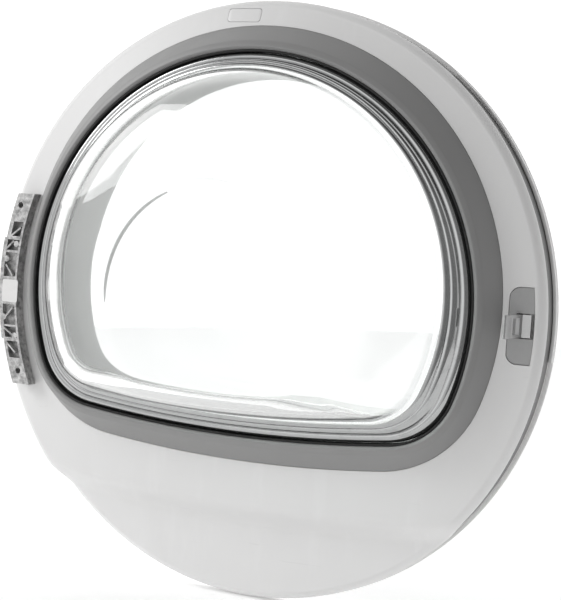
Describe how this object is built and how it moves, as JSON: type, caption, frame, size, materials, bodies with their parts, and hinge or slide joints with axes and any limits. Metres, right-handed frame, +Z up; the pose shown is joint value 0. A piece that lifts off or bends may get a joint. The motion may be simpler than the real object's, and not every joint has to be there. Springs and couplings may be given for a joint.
{
  "type": "washing machine door",
  "caption": "Round porthole door of a front-loading washing machine: D-shaped glass bowl in a domed frame, cast hinge on one side and a sprung latch hook on the other.",
  "frame": {"origin": "point on the hinge base's flat cabinet mounting face, on its solid middle pad", "axes": "+Z up; +Y out of the hinge's mounting face, towards the cabinet and the drum; -Y out of the door's front; the door hangs towards -X, with its latch at the far -X end"},
  "size_m": [0.482, 0.1313, 0.482],
  "materials": {
    "cast_metal": "as cast, lightly mottled",
    "pin_steel": "ground",
    "nylon": "smooth moulded",
    "arm_steel": "black coated",
    "frame_plastic": "satin, fine moulded grain",
    "collar_plastic": "satin",
    "gasket_rubber": "matt",
    "bowl_glass": "clear pressed glass",
    "inner_plastic": "moulded",
    "band_plastic": "satin",
    "cover_clear": "clear polished",
    "border_plastic": "smooth",
    "grip_plastic": "satin",
    "plate_steel": "matt, fine grain",
    "spring_steel": "drawn wire",
    "hook_metal": "die-cast, tumbled",
    "screw_steel": "zinc plated"
  },
  "bodies": {
    "hinge_base": {"hinge_base": "cast_metal", "hinge_pin_upper": "pin_steel", "hinge_pin_lower": "pin_steel"},
    "door": {"hinge_bush_upper": "nylon", "hinge_bush_lower": "nylon", "hinge_arm": "arm_steel", "rear_frame": "frame_plastic", "blanking_plug": "frame_plastic", "glass_collar": "collar_plastic", "glass_gasket": "gasket_rubber", "glass_bowl": "bowl_glass", "front_frame": "inner_plastic", "edge_band": "band_plastic", "edge_band_hinge_side": "band_plastic", "front_cover": "cover_clear", "cover_border": "border_plastic", "grip_lip": "grip_plastic", "latch_plate": "plate_steel", "latch_housing": "inner_plastic", "latch_pin": "pin_steel", "latch_spring": "spring_steel", "hinge_arm_screw_1": "screw_steel", "hinge_arm_screw_2": "screw_steel", "hinge_arm_screw_3": "screw_steel", "hinge_arm_screw_4": "screw_steel", "frame_screw_1": "screw_steel", "frame_screw_2": "screw_steel", "frame_screw_3": "screw_steel", "frame_screw_4": "screw_steel", "cover_screw_1": "screw_steel", "cover_screw_2": "screw_steel", "cover_screw_3": "screw_steel", "cover_screw_4": "screw_steel", "cover_screw_5": "screw_steel", "cover_screw_6": "screw_steel", "latch_housing_screw_1": "screw_steel", "latch_housing_screw_2": "screw_steel"},
    "latch_hook": {"latch_hook": "hook_metal"}
  },
  "joints": [
    {"name": "door_swing", "type": "hinge", "parent": "hinge_base", "child": "door", "pos_m": [0.0025, -0.035, 0.008], "axis": [0, 0, 1], "range_deg": [0, 110]},
    {"name": "hook_tilt", "type": "hinge", "parent": "door", "child": "latch_hook", "pos_m": [-0.4415, -0.026, 0.0105], "axis": [0, 0, 1], "range_deg": [0, 12], "stiffness_Nm_per_rad": 0.4, "springref_deg": -14.32}
  ]
}
